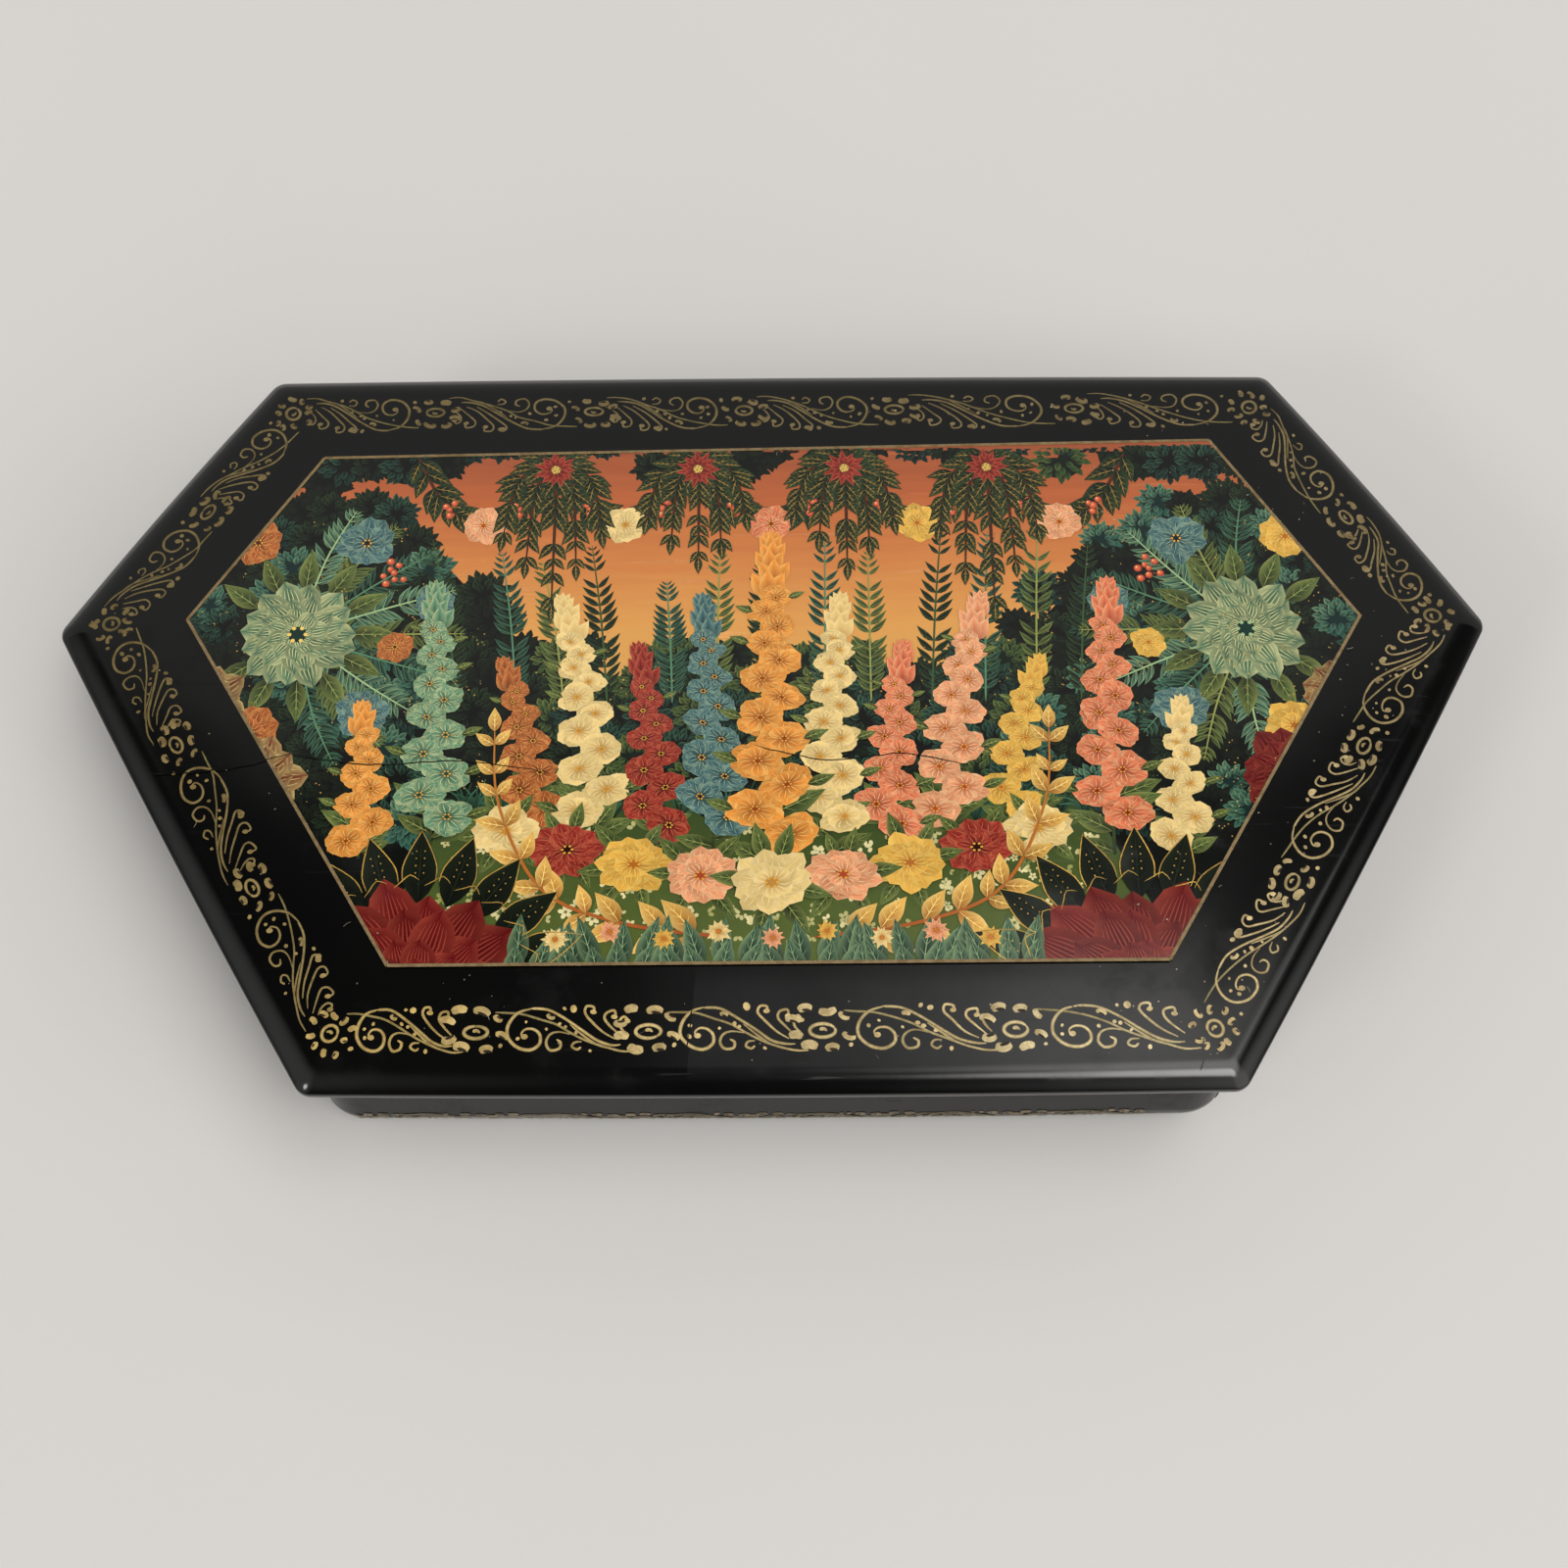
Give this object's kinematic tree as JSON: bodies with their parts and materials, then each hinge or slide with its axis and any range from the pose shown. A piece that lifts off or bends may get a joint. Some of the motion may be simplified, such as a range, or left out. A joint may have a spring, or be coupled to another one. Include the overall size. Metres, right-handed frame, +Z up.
{
  "type": "lacquered box",
  "caption": "Low hexagonal lacquered papier-mache box with an overhanging hinged lid, a painted panel on the lid and a gold scroll border.",
  "frame": {"origin": "middle of the box's plan, on the surface that it stands on", "axes": "+X along the length, +Y towards the hinged back, +Z up"},
  "size_m": [0.1798, 0.1005, 0.0252],
  "materials": {
    "black_lacquer_body": "high gloss black lacquer on papier-mache",
    "black_lacquer_lid": "high gloss black lacquer on papier-mache, painted and gilded",
    "red_lacquer": "glossy cinnabar red lacquer on papier-mache",
    "hinge_brass": "aged satin brass sheet",
    "hinge_wire": "drawn brass wire, dulled"
  },
  "bodies": {
    "box": {"body_wall": "black_lacquer_body", "bottom_board": "black_lacquer_body", "left_hinge_body_leaf": "hinge_brass", "left_hinge_pin": "hinge_wire", "right_hinge_body_leaf": "hinge_brass", "right_hinge_pin": "hinge_wire", "body_leaf_brads": "hinge_wire"},
    "lid": {"lid_board": "black_lacquer_lid", "closing_frame": "red_lacquer", "left_hinge_lid_leaf": "hinge_brass", "right_hinge_lid_leaf": "hinge_brass", "lid_leaf_brads": "hinge_wire"}
  },
  "joints": [
    {"name": "lid_hinge", "type": "hinge", "parent": "box", "child": "lid", "pos_m": [0, 0.04823, 0.02177], "axis": [-1, 0, 0], "range_deg": [0, 105]}
  ]
}
